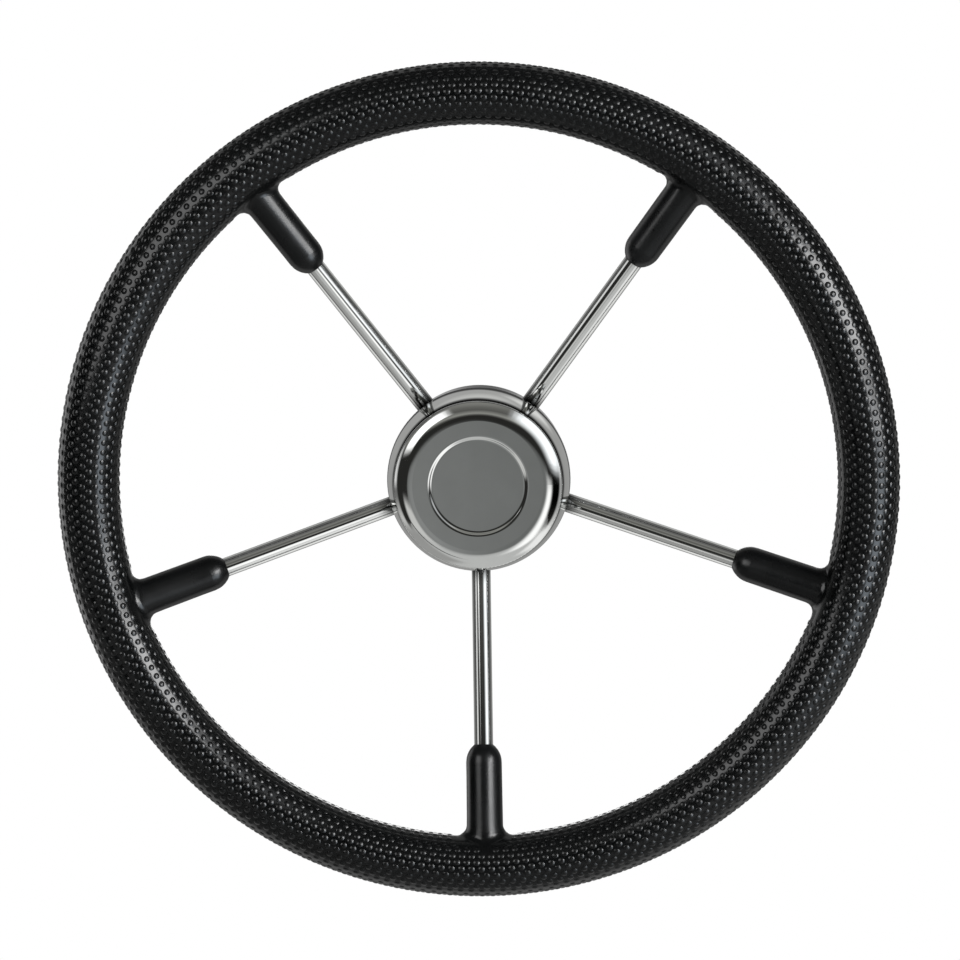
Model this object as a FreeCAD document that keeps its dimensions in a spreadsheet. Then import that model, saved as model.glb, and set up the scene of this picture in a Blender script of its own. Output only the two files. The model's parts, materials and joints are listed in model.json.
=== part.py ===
import FreeCAD, Part
import math
import os

import Sketcher

os.makedirs("parts", exist_ok=True)
doc = FreeCAD.newDocument("boat_steering_wheel")

# Frame: +Y is the wheel's axis and points to the rear, towards the helm. The front faces -Y,
# +Z is up and one spoke points straight down. The origin is on the axis at the rear face of
# the boss, where the shaft enters. "Forward" is a distance from there along -Y.

# Driving sizes in millimetres, counts and ratios are bare numbers.
SIZES = {
    # rim
    "overall_dia": 350.0,
    "grip_dia": 25.4,
    "core_dia": 10.0,
    "rim_forward": 45.0,
    # spokes
    "spoke_count": 5,
    "spoke_dia": 8.0,
    "spoke_root_forward": 17.0,
    "spoke_inset": 3.5,
    # sleeves moulded on the inside of the rim
    "sleeve_reach": 51.0,
    "sleeve_root_dia": 15.6,
    "sleeve_narrowing": 0.5,
    "sleeve_dome": 7.5,
    "sleeve_foot_radius": 4.0,
    # deep-drawn cup at the rear of the hub
    "cup_mouth_dia": 77.2,
    "cup_narrowing": 2.4,
    "cup_depth": 24.0,
    "cup_sheet": 2.0,
    "cup_corner": 3.0,
    "seam_bevel": 0.35,
    # pressed bezel that closes the cup towards the cap
    "bezel_straight": 2.0,
    "bezel_height": 16.0,
    "bezel_narrowing": 6.3,
    "bezel_sheet": 1.8,
    "lip_length": 3.0,
    "lip_sheet": 1.4,
    "fit_gap": 0.05,
    # machined boss
    "boss_dia": 34.0,
    "boss_length": 30.0,
    "boss_proud": 2.0,
    "boss_flange_width": 6.0,
    "boss_flange_thickness": 4.0,
    "boss_bevel": 0.8,
    "bore_large_dia": 19.05,
    "taper_ratio": 12.0,
    "key_width": 4.76,
    "key_depth": 2.4,
    # snap-in cap with a shallow round dish in its face
    "cap_step": 0.25,
    "cap_rise": 6.4,
    "cap_shoulder": 13.5,
    "cap_shoulder_width": 7.5,
    "cap_roll": 0.9,
    "cap_sheet": 1.2,
    "cap_seat_gap": 0.05,
    "cap_edge_bevel": 0.4,
    "skirt_length": 7.0,
    "skirt_sheet": 2.2,
    "skirt_gap": 0.15,
    "dish_dia": 40.2,
    "dish_slope_width": 2.3,
    "dish_depth": 0.46,
    # rubber ring that holds the cap behind the bezel's neck
    "ring_section": 2.6,
    "ring_side_gap": 0.1,
    "groove_depth": 1.0,
}

# Sizes worked out from the driving ones.
DERIVED = {
    "grip_radius": "grip_dia / 2",
    "core_radius": "core_dia / 2",
    "rim_radius": "overall_dia / 2 - grip_dia / 2",
    "spoke_radius": "spoke_dia / 2",
    "sleeve_root_radius": "sleeve_root_dia / 2",
    "sleeve_tip_radius": "sleeve_root_dia / 2 - sleeve_narrowing / 2",
    "sleeve_full": "sleeve_reach - sleeve_dome",
    "sleeve_step": "sleeve_tip_radius - spoke_radius",
    "sleeve_bend": "(sleeve_step ^ 2 + sleeve_dome ^ 2) / (2 * sleeve_step)",
    "bore_large_radius": "bore_large_dia / 2",
    "bore_small_radius": "bore_large_dia / 2 - boss_length / taper_ratio / 2",
    "key_half_width": "key_width / 2",
    "key_top": "bore_large_dia / 2 + key_depth",
    "boss_radius": "boss_dia / 2",
    "boss_face_radius": "boss_dia / 2 - boss_bevel",
    "boss_front_bevel": "boss_length - boss_bevel",
    "flange_radius": "boss_dia / 2 + boss_flange_width",
    "cup_hole_radius": "boss_dia / 2 + fit_gap",
    "cup_floor": "boss_proud + cup_sheet",
    "flange_front": "boss_proud + cup_sheet + boss_flange_thickness",
    "cup_rear_radius": "cup_mouth_dia / 2 - cup_narrowing / 2",
    "cup_rear_flat": "cup_rear_radius - cup_corner",
    "cup_corner_end": "boss_proud + cup_corner",
    "cup_mouth": "boss_proud + cup_depth",
    "cup_mouth_radius": "cup_mouth_dia / 2",
    "cup_mouth_bevelled": "cup_mouth_radius - seam_bevel",
    "cup_bevel_start": "cup_mouth - seam_bevel",
    "cup_mouth_inner": "cup_mouth_radius - cup_sheet",
    "cup_rear_inner": "cup_rear_radius - cup_sheet",
    "cup_inner_corner": "cup_corner - cup_sheet",
    "bezel_seam_end": "cup_mouth + seam_bevel",
    "bezel_bend_start": "cup_mouth + bezel_straight",
    "bezel_front": "cup_mouth + bezel_height",
    "bezel_bevel_start": "bezel_front - cap_edge_bevel",
    "bezel_neck_radius": "cup_mouth_radius - bezel_narrowing / 2",
    "bezel_neck_bevelled": "bezel_neck_radius - cap_edge_bevel",
    "bend_height": "bezel_height - bezel_straight - cap_edge_bevel",
    "bezel_bend": "(bend_height ^ 2 + bezel_narrowing ^ 2 / 4) / bezel_narrowing",
    "bezel_inner_radius": "cup_mouth_radius - bezel_sheet",
    "bezel_inner_bend": "bezel_bend - bezel_sheet",
    "bezel_neck_inner": "cup_mouth_radius - bezel_bend"
                        " + sqrt(bezel_inner_bend ^ 2 - (bend_height + cap_edge_bevel) ^ 2)",
    "cup_draft": "cup_narrowing / 2 / (cup_depth - cup_corner)",
    "lip_outer": "cup_mouth_inner - fit_gap",
    "lip_end_outer": "lip_outer - lip_length * cup_draft",
    "lip_inner": "lip_outer - lip_sheet",
    "lip_end": "cup_mouth - lip_length",
    "cap_seat": "bezel_front + cap_seat_gap",
    "cap_edge_radius": "bezel_neck_radius - cap_step",
    "cap_edge_bevelled": "cap_edge_radius - cap_edge_bevel",
    "cap_bevel_end": "cap_seat + cap_edge_bevel",
    "cap_face": "cap_seat + cap_rise",
    "shoulder_sine": "cap_shoulder_width / cap_shoulder",
    "shoulder_radius": "cap_edge_radius - cap_roll * (1 - shoulder_sine)",
    "cap_face_radius": "shoulder_radius - cap_shoulder_width",
    "shoulder_end": "cap_face - cap_shoulder * (1 - sqrt(1 - shoulder_sine ^ 2))",
    "roll_end": "shoulder_end - cap_roll * sqrt(1 - shoulder_sine ^ 2)",
    "cap_inside": "cap_face - cap_sheet",
    "cap_inner_shoulder": "cap_shoulder - cap_sheet",
    "cap_wall_inner": "cap_edge_radius - cap_sheet",
    "cap_wall_top": "cap_face - cap_shoulder"
                    " + sqrt(cap_inner_shoulder ^ 2 - (cap_wall_inner - cap_face_radius) ^ 2)",
    "cap_flange": "cap_seat + cap_sheet",
    "skirt_radius": "bezel_neck_inner - skirt_gap",
    "skirt_inner": "skirt_radius - skirt_sheet",
    "skirt_end": "cap_seat - skirt_length",
    "dish_radius": "dish_dia / 2",
    "dish_outer": "dish_radius + dish_slope_width / 2",
    "dish_inner": "dish_radius - dish_slope_width / 2",
    "dish_bend": "(dish_slope_width ^ 2 + dish_depth ^ 2) / (4 * dish_depth)",
    "dish_slope": "cap_face - dish_depth / 2",
    "dish_face": "cap_face - dish_depth",
    "dish_slope_inside": "dish_slope - cap_sheet",
    "dish_inside": "dish_face - cap_sheet",
    "ring_forward": "cap_seat - skirt_length / 2",
    "groove_radius": "skirt_radius - groove_depth",
    "groove_front": "ring_forward + ring_section / 2 + ring_side_gap",
    "groove_rear": "ring_forward - ring_section / 2 - ring_side_gap",
    "ring_radius": "groove_radius + ring_section / 2",
    "ring_section_radius": "ring_section / 2",
}

sheet = doc.addObject("Spreadsheet::Sheet", "sizes")
for row, (alias, content) in enumerate({**SIZES, **DERIVED}.items(), start=1):
    sheet.set(f"A{row}", alias)
    sheet.set(f"B{row}", f"={content}" if alias in DERIVED else str(content))
    sheet.setAlias(f"B{row}", alias)
doc.recompute()

FULL_TURN = 360.0
# A point this close to a surface, in millimetres, lies on it.
TOUCH = 0.01
# Points looked at along an edge.
EDGE_SAMPLES = 9


def size(alias):
    """The value of a cell, with a minus sign in front of the alias turned over."""
    if alias == "0":
        return 0.0
    if alias.startswith("-"):
        return -float(sheet.get(alias[1:]))
    return float(sheet.get(alias))


def cell(alias):
    """The expression that binds a constraint to a cell."""
    return f"-sizes.{alias[1:]}" if alias.startswith("-") else f"sizes.{alias}"


def origin_feature(body, role):
    return next(f for f in body.Origin.OriginFeatures if f.Role == role)


def new_sketch(body, name, plane):
    sketch = body.newObject("Sketcher::SketchObject", name)
    sketch.AttachmentSupport = (origin_feature(body, plane), [""])
    sketch.MapMode = "FlatFace"
    return sketch


def bind(sketch, constraint, alias):
    """Add a dimension and tie it to a cell."""
    index = sketch.addConstraint(constraint)
    sketch.setExpression(f"Constraints[{index}]", cell(alias))


def locate(sketch, geometry, vertex, x_alias, y_alias):
    """Place one vertex by its two distances from the sketch's origin."""
    if x_alias == "0":
        sketch.addConstraint(Sketcher.Constraint("PointOnObject", geometry, vertex, -2))
    else:
        across = Sketcher.Constraint("DistanceX", -1, 1, geometry, vertex, size(x_alias))
        bind(sketch, across, x_alias)
    if y_alias == "0":
        sketch.addConstraint(Sketcher.Constraint("PointOnObject", geometry, vertex, -1))
    else:
        along = Sketcher.Constraint("DistanceY", -1, 1, geometry, vertex, size(y_alias))
        bind(sketch, along, y_alias)


def arc_between(start, end, radius, centre_on_left):
    """The short arc from start to end, drawn anticlockwise as the sketcher keeps it."""
    chord = end - start
    across = FreeCAD.Vector(-chord.y, chord.x, 0).normalize()
    if not centre_on_left:
        across = -across
    height = math.sqrt(max(radius ** 2 - (chord.Length / 2) ** 2, 0.0))
    centre = (start + end) / 2 + across * height
    first, last = (start, end) if centre_on_left else (end, start)
    first_angle = math.atan2(first.y - centre.y, first.x - centre.x)
    last_angle = math.atan2(last.y - centre.y, last.x - centre.x)
    circle = Part.Circle(centre, FreeCAD.Vector(0, 0, 1), radius)
    return Part.ArcOfCircle(circle, first_angle, last_angle)


def outline(body, name, plane, corners, arcs=()):
    """A closed profile through the corners, each a pair of cells.

    arcs maps the number of a corner to the radius cell of the arc that leaves it, and to
    whether the arc's centre lies on its left.
    """
    sketch = new_sketch(body, name, plane)
    arcs = dict(arcs)
    places = [FreeCAD.Vector(size(x), size(y), 0) for x, y in corners]
    ends = []
    for index, start in enumerate(places):
        end = places[(index + 1) % len(places)]
        if index in arcs:
            radius_alias, on_left = arcs[index]
            geometry = sketch.addGeometry(arc_between(start, end, size(radius_alias), on_left))
            ends.append((geometry, 1, 2) if on_left else (geometry, 2, 1))
        else:
            geometry = sketch.addGeometry(Part.LineSegment(start, end))
            ends.append((geometry, 1, 2))
    for index, (geometry, _, last) in enumerate(ends):
        following, first, _ = ends[(index + 1) % len(ends)]
        sketch.addConstraint(Sketcher.Constraint("Coincident", geometry, last, following, first))
    for (geometry, first, _), (x_alias, y_alias) in zip(ends, corners):
        locate(sketch, geometry, first, x_alias, y_alias)
    for index, (radius_alias, _) in arcs.items():
        geometry = ends[index][0]
        bind(sketch, Sketcher.Constraint("Radius", geometry, size(radius_alias)), radius_alias)
    return sketch


def ring_section(body, name, plane, x_alias, y_alias, radius_alias):
    """A circle placed by the cells of its centre and radius."""
    sketch = new_sketch(body, name, plane)
    centre = FreeCAD.Vector(size(x_alias), size(y_alias), 0)
    circle = Part.Circle(centre, FreeCAD.Vector(0, 0, 1), size(radius_alias))
    geometry = sketch.addGeometry(circle)
    bind(sketch, Sketcher.Constraint("Radius", geometry, size(radius_alias)), radius_alias)
    locate(sketch, geometry, 3, x_alias, y_alias)
    return sketch


def revolve(body, name, sketch):
    """Turn a sketch once round its own vertical axis."""
    feature = body.newObject("PartDesign::Revolution", name)
    feature.Profile = sketch
    feature.ReferenceAxis = (sketch, ["V_Axis"])
    feature.Angle = FULL_TURN
    return feature


def new_body(name):
    return doc.addObject("PartDesign::Body", name)


def spoke_placement(number):
    """From a spoke's own axis, outwards along +Z and ending on the rim's centre circle, to
    its place on the wheel. Spoke 0 points straight down and leans forward to the rim."""
    run = size("rim_radius") - size("cup_mouth_radius")
    rise = size("rim_forward") - size("spoke_root_forward")
    outwards = FreeCAD.Vector(0, -rise, -run)
    lean = FreeCAD.Rotation(FreeCAD.Vector(0, 0, 1), outwards)
    rim_point = FreeCAD.Vector(0, -size("rim_forward"), -size("rim_radius"))
    step = FULL_TURN / size("spoke_count")
    turn = FreeCAD.Rotation(FreeCAD.Vector(0, 1, 0), number * step)
    return FreeCAD.Placement(FreeCAD.Vector(), turn) * FreeCAD.Placement(rim_point, lean)


def spoke_numbers():
    return range(int(size("spoke_count")))


def make_core():
    """Round bar bent to a ring, inside the moulded grip."""
    body = new_body("core_ring")
    revolve(body, "core_turn",
            ring_section(body, "core_section", "XY_Plane", "rim_radius", "-rim_forward",
                         "core_radius"))
    return body


def make_rod(number):
    """Round bar from just inside the cup's wall to the centre of the core ring."""
    body = new_body(f"rod_{number + 1}")
    sketch = ring_section(body, f"rod_section_{number + 1}", "XY_Plane", "0", "0",
                          "spoke_radius")
    pad = body.newObject("PartDesign::Pad", f"rod_length_{number + 1}")
    pad.Profile = sketch
    run = "(sizes.rim_radius - sizes.cup_mouth_radius)"
    rise = "(sizes.rim_forward - sizes.spoke_root_forward)"
    pad.setExpression("Length", f"sqrt({run} ^ 2 + {rise} ^ 2) + sizes.spoke_inset")
    pad.Reversed = True
    body.Placement = spoke_placement(number)
    return body


def make_sleeve(number):
    """Drafted sleeve with a domed tip, from the rim's centre circle along the spoke."""
    body = new_body(f"sleeve_{number + 1}")
    corners = [
        ("0", "0"),
        ("sleeve_root_radius", "0"),
        ("sleeve_tip_radius", "-sleeve_full"),
        ("spoke_radius", "-sleeve_reach"),
        ("0", "-sleeve_reach"),
    ]
    arcs = {2: ("sleeve_bend", False)}
    sketch = outline(body, f"sleeve_profile_{number + 1}", "XZ_Plane", corners, arcs)
    revolve(body, f"sleeve_turn_{number + 1}", sketch)
    body.Placement = spoke_placement(number)
    return body


def make_grip(core, rods):
    """Elastomer moulded over the core and the rods' outer ends: a ring with one sleeve per
    spoke, blended at the foot. The bars' own shapes are its cavity."""
    ring = new_body("grip_ring")
    revolve(ring, "grip_turn",
            ring_section(ring, "grip_section", "XY_Plane", "rim_radius", "-rim_forward",
                         "grip_radius"))
    sleeves = [make_sleeve(number) for number in spoke_numbers()]
    doc.recompute()
    moulding = doc.addObject("Part::MultiFuse", "grip_and_sleeves")
    moulding.Shapes = [ring] + sleeves
    doc.recompute()
    blend = doc.addObject("Part::Fillet", "grip_blended")
    blend.Base = moulding
    foot_radius = size("sleeve_foot_radius")
    blend.Edges = [(index, foot_radius, foot_radius) for index in foot_edges(moulding.Shape)]
    bars = doc.addObject("Part::Compound", "bars_in_grip")
    bars.Links = [core] + rods
    grip = doc.addObject("Part::Cut", "grip")
    grip.Base = blend
    grip.Tool = bars
    return grip


def foot_edges(shape):
    """Numbers of the edges where a sleeve meets the ring: on the ring's surface all along,
    and near a spoke's axis."""
    found = []
    reach = size("sleeve_root_radius") + size("sleeve_foot_radius")
    axes = [spoke_placement(number) for number in spoke_numbers()]
    for index, edge in enumerate(shape.Edges, start=1):
        points = edge.discretize(EDGE_SAMPLES)
        if max(abs(ring_distance(point) - size("grip_radius")) for point in points) > TOUCH:
            continue
        if any(max(axis_distance(point, axis) for point in points) < reach for axis in axes):
            found.append(index)
    return found


def ring_distance(point):
    """How far a point lies from the rim's centre circle."""
    across = math.hypot(point.x, point.z) - size("rim_radius")
    return math.hypot(across, point.y + size("rim_forward"))


def axis_distance(point, axis):
    """How far a point lies from a spoke's axis."""
    local = axis.inverse().multVec(point)
    return math.hypot(local.x, local.y)


def make_spoke(rod, core, number):
    """The rod, notched at its outer end to the round of the core that it is welded to."""
    spoke = doc.addObject("Part::Cut", f"notched_rod_{number + 1}")
    spoke.Base = rod
    spoke.Tool = core
    return spoke


def make_cup(rods):
    """Deep-drawn cup with a drafted wall, pierced square to each rod."""
    body = new_body("cup")
    corners = [
        ("cup_hole_radius", "-boss_proud"),
        ("cup_rear_flat", "-boss_proud"),
        ("cup_rear_radius", "-cup_corner_end"),
        ("cup_mouth_radius", "-cup_bevel_start"),
        ("cup_mouth_bevelled", "-cup_mouth"),
        ("cup_mouth_inner", "-cup_mouth"),
        ("cup_rear_inner", "-cup_corner_end"),
        ("cup_rear_flat", "-cup_floor"),
        ("cup_hole_radius", "-cup_floor"),
    ]
    arcs = {1: ("cup_corner", False), 6: ("cup_inner_corner", True)}
    revolve(body, "cup_turn", outline(body, "cup_profile", "XY_Plane", corners, arcs))
    rod_group = doc.addObject("Part::Compound", "rods_through_cup")
    rod_group.Links = rods
    pierced = doc.addObject("Part::Cut", "pierced_cup")
    pierced.Base = body
    pierced.Tool = rod_group
    return pierced


def make_boss():
    """Turned boss with a flange on the cup's floor, a taper bore and a keyway."""
    body = new_body("boss")
    corners = [
        ("bore_large_radius", "0"),
        ("boss_face_radius", "0"),
        ("boss_radius", "-boss_bevel"),
        ("boss_radius", "-cup_floor"),
        ("flange_radius", "-cup_floor"),
        ("flange_radius", "-flange_front"),
        ("boss_radius", "-flange_front"),
        ("boss_radius", "-boss_front_bevel"),
        ("boss_face_radius", "-boss_length"),
        ("bore_small_radius", "-boss_length"),
    ]
    revolve(body, "boss_turn", outline(body, "boss_profile", "XY_Plane", corners))
    keyway = [
        ("-key_half_width", "0"),
        ("key_half_width", "0"),
        ("key_half_width", "key_top"),
        ("-key_half_width", "key_top"),
    ]
    slot = body.newObject("PartDesign::Pocket", "keyway")
    slot.Profile = outline(body, "keyway_profile", "XZ_Plane", keyway)
    slot.Type = "ThroughAll"
    slot.Midplane = True
    return body


def make_bezel():
    """Pressed ring that closes in from the cup's mouth to the cap, with a lip that
    registers inside the cup."""
    body = new_body("bezel")
    corners = [
        ("cup_mouth_bevelled", "-cup_mouth"),
        ("cup_mouth_radius", "-bezel_seam_end"),
        ("cup_mouth_radius", "-bezel_bend_start"),
        ("bezel_neck_radius", "-bezel_bevel_start"),
        ("bezel_neck_bevelled", "-bezel_front"),
        ("bezel_neck_inner", "-bezel_front"),
        ("bezel_inner_radius", "-bezel_bend_start"),
        ("lip_inner", "-cup_mouth"),
        ("lip_inner", "-lip_end"),
        ("lip_end_outer", "-lip_end"),
        ("lip_outer", "-cup_mouth"),
    ]
    arcs = {2: ("bezel_bend", False), 5: ("bezel_inner_bend", True)}
    revolve(body, "bezel_turn", outline(body, "bezel_profile", "XY_Plane", corners, arcs))
    return body


def make_cap():
    """Pressed cap: flat face with a shallow dish, rounded shoulder, rolled edge and side
    wall, and a skirt with an outside groove."""
    body = new_body("cap")
    corners = [
        ("0", "-dish_inside"),
        ("dish_inner", "-dish_inside"),
        ("dish_radius", "-dish_slope_inside"),
        ("dish_outer", "-cap_inside"),
        ("cap_face_radius", "-cap_inside"),
        ("cap_wall_inner", "-cap_wall_top"),
        ("cap_wall_inner", "-cap_flange"),
        ("skirt_inner", "-cap_flange"),
        ("skirt_inner", "-skirt_end"),
        ("skirt_radius", "-skirt_end"),
        ("skirt_radius", "-groove_rear"),
        ("groove_radius", "-groove_rear"),
        ("groove_radius", "-groove_front"),
        ("skirt_radius", "-groove_front"),
        ("skirt_radius", "-cap_seat"),
        ("cap_edge_bevelled", "-cap_seat"),
        ("cap_edge_radius", "-cap_bevel_end"),
        ("cap_edge_radius", "-roll_end"),
        ("shoulder_radius", "-shoulder_end"),
        ("cap_face_radius", "-cap_face"),
        ("dish_outer", "-cap_face"),
        ("dish_radius", "-dish_slope"),
        ("dish_inner", "-dish_face"),
        ("0", "-dish_face"),
    ]
    arcs = {
        1: ("dish_bend", False),
        2: ("dish_bend", True),
        4: ("cap_inner_shoulder", True),
        17: ("cap_roll", False),
        18: ("cap_shoulder", False),
        20: ("dish_bend", False),
        21: ("dish_bend", True),
    }
    revolve(body, "cap_turn", outline(body, "cap_profile", "XY_Plane", corners, arcs))
    return body


def make_cap_ring():
    """Rubber ring in the skirt's groove, wider than the bezel's neck."""
    body = new_body("rubber_ring")
    revolve(body, "rubber_turn",
            ring_section(body, "rubber_section", "XY_Plane", "ring_radius", "-ring_forward",
                         "ring_section_radius"))
    return body


def export(nodes):
    """Check every object, then write one STEP file per node."""
    doc.recompute()
    faulty = [item.Name for item in doc.Objects
              if "Invalid" in item.State or "Error" in item.State]
    if faulty:
        raise RuntimeError(f"objects in error: {faulty}")
    for node, item in nodes.items():
        shape = item.Shape
        if shape.isNull() or not shape.isValid() or not shape.Solids:
            raise RuntimeError(f"{node} has no valid solid")
        item.Label = node
        shape.exportStep(f"parts/{node}.step")
        print(f"{node}: {len(shape.Solids)} solid, {shape.Volume / 1000:.2f} cm3")


def main():
    core = make_core()
    rods = [make_rod(number) for number in spoke_numbers()]
    doc.recompute()
    nodes = {"rim_core": core, "rim_grip": make_grip(core, rods)}
    for number, rod in enumerate(rods):
        nodes[f"spoke_{number + 1}"] = make_spoke(rod, core, number)
    nodes["hub_cup"] = make_cup(rods)
    nodes["hub_boss"] = make_boss()
    nodes["hub_bezel"] = make_bezel()
    nodes["hub_cap"] = make_cap()
    nodes["cap_ring"] = make_cap_ring()
    export(nodes)


main()
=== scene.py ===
"""Looks of a boat steering wheel: a moulded grip with raised dots, five bar spokes and a pressed hub."""

import json
import math
from typing import NamedTuple

import bpy
import numpy as np
from mathutils import Matrix, Vector

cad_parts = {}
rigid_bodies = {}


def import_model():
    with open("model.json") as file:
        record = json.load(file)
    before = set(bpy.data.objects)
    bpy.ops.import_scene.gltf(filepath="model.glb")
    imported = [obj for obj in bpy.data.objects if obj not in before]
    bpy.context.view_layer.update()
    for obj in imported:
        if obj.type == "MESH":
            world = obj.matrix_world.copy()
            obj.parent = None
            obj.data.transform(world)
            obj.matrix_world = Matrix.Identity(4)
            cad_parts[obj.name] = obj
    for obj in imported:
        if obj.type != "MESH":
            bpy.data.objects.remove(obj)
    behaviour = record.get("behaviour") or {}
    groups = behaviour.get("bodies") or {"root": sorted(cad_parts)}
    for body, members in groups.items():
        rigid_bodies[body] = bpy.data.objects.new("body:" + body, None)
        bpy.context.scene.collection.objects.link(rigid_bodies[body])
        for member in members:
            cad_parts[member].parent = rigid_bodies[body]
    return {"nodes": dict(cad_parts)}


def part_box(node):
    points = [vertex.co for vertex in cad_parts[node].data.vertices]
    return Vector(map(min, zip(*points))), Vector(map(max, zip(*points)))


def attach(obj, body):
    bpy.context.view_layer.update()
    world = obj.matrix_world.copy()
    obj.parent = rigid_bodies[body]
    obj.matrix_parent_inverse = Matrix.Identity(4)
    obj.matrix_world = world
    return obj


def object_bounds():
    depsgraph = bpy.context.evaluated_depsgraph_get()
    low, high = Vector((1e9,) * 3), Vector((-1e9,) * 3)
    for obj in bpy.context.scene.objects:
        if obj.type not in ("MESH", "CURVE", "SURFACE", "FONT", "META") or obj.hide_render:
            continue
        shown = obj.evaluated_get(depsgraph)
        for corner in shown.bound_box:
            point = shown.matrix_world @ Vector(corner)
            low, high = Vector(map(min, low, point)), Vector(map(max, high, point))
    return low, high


bl_info = {
    "name": "Boat Steering Wheel Looks",
    "version": (1, 0, 0),
    "blender": (4, 5, 0),
    "location": "View3D > Sidebar > Wheel",
    "description": "Dresses a five-spoke boat steering wheel with its grip dots, steel finishes and studio",
    "category": "Object",
}

# An empty file gives the object's own box, so whatever Blender starts with goes first.
for leftover in list(bpy.data.objects):
    bpy.data.objects.remove(leftover, do_unlink=True)

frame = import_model()
CAD_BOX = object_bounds()
NODES = frame["nodes"]

# Sizes read from the frame, in metres
CORE_LOW, CORE_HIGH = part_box("rim_core")
CORE_RADIUS = (CORE_HIGH.y - CORE_LOW.y) / 2
RIM_PLANE = (CORE_HIGH.y + CORE_LOW.y) / 2
RIM_RADIUS = CORE_HIGH.x - CORE_RADIUS
GRIP_RADIUS = CAD_BOX[1].x - RIM_RADIUS

SPOKES = sorted(name for name in NODES if name.startswith("spoke_"))
FIRST_SPOKE_ANGLE = math.radians(270)
SPOKE_STEP = math.tau / len(SPOKES)

MM = 0.001
# Radii between which the bezel's rounded lip goes from a painted dark line, standing for the shade in the
# joint's gap, to bright steel
BEZEL_LIP_SHADE = (35.6 * MM, 36.2 * MM)
# Distances inside and outside the rim's inner edge between which the sleeves' finish gives way to the rim's
SLEEVE_END = (3.0 * MM, 1.0 * MM)
QUADRANTS = ("upper_right", "upper_left", "lower_left", "lower_right")


# Settings


class GripSettings(bpy.types.PropertyGroup):
    """Rubber of the grip and the raised dots on it."""

    rubber_colour: bpy.props.FloatVectorProperty(
        name="Rubber colour", description="Base colour of the moulded grip",
        subtype="COLOR", size=3, min=0.0, max=1.0, default=(0.0030, 0.0034, 0.0036),
    )
    rubber_roughness: bpy.props.FloatProperty(
        name="Rubber roughness", description="Mean roughness of the moulded grip",
        subtype="FACTOR", min=0.0, max=1.0, default=0.17,
    )
    sleeve_roughness: bpy.props.FloatProperty(
        name="Sleeve roughness", description="Mean roughness of the plain sleeves",
        subtype="FACTOR", min=0.0, max=1.0, default=0.28,
    )
    dot_roughness: bpy.props.FloatProperty(
        name="Dot roughness", description="Mean roughness of the raised dots",
        subtype="FACTOR", min=0.0, max=1.0, default=0.26,
    )
    rubber_specular: bpy.props.FloatProperty(
        name="Rubber specular", description="Specular level of the moulded grip",
        subtype="FACTOR", min=0.0, max=1.0, default=0.19,
    )
    dot_specular: bpy.props.FloatProperty(
        name="Dot specular", description="Specular level of the raised dots",
        subtype="FACTOR", min=0.0, max=1.0, default=0.21,
    )
    dots_per_row: bpy.props.IntProperty(
        name="Dots per row", description="Dots in one row round the wheel", min=12, default=240,
    )
    row_count: bpy.props.IntProperty(
        name="Rows", description="Rows of dots round the grip's own section", min=4, default=28,
    )
    first_row: bpy.props.FloatProperty(
        name="First row", description="Angle of one row from the grip's front towards its outside",
        subtype="ANGLE", default=math.radians(19.3),
    )
    first_dot: bpy.props.FloatProperty(
        name="First dot", description="Angle round the wheel of one dot in the first row",
        subtype="ANGLE", default=math.radians(1.0),
    )
    dot_radius: bpy.props.FloatProperty(
        name="Dot radius", description="Radius of a dot where it meets the grip",
        subtype="DISTANCE", unit="LENGTH", min=0.0, default=1.4 * MM,
    )
    dot_height: bpy.props.FloatProperty(
        name="Dot height", description="How far a dot stands out of the grip",
        subtype="DISTANCE", unit="LENGTH", min=0.0, default=0.34 * MM,
    )
    dot_root: bpy.props.FloatProperty(
        name="Dot root", description="How far a dot's mesh reaches into the grip",
        subtype="DISTANCE", unit="LENGTH", min=0.0, default=0.12 * MM,
    )
    dot_segments: bpy.props.IntProperty(
        name="Dot segments", description="Corners round one dot", min=6, default=12,
    )
    clear_along: bpy.props.FloatProperty(
        name="Clear length", description="Half length along the rim of the plain place at a sleeve's foot",
        subtype="DISTANCE", unit="LENGTH", min=0.0, default=14.5 * MM,
    )
    clear_across: bpy.props.FloatProperty(
        name="Clear width", description="Half width round the grip of the plain place at a sleeve's foot",
        subtype="DISTANCE", unit="LENGTH", min=0.0, default=13.0 * MM,
    )
    spoke_lean: bpy.props.FloatProperty(
        name="Spoke lean", description="How far the spokes lean out of the rim's plane",
        subtype="ANGLE", default=math.radians(12.7),
    )


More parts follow.
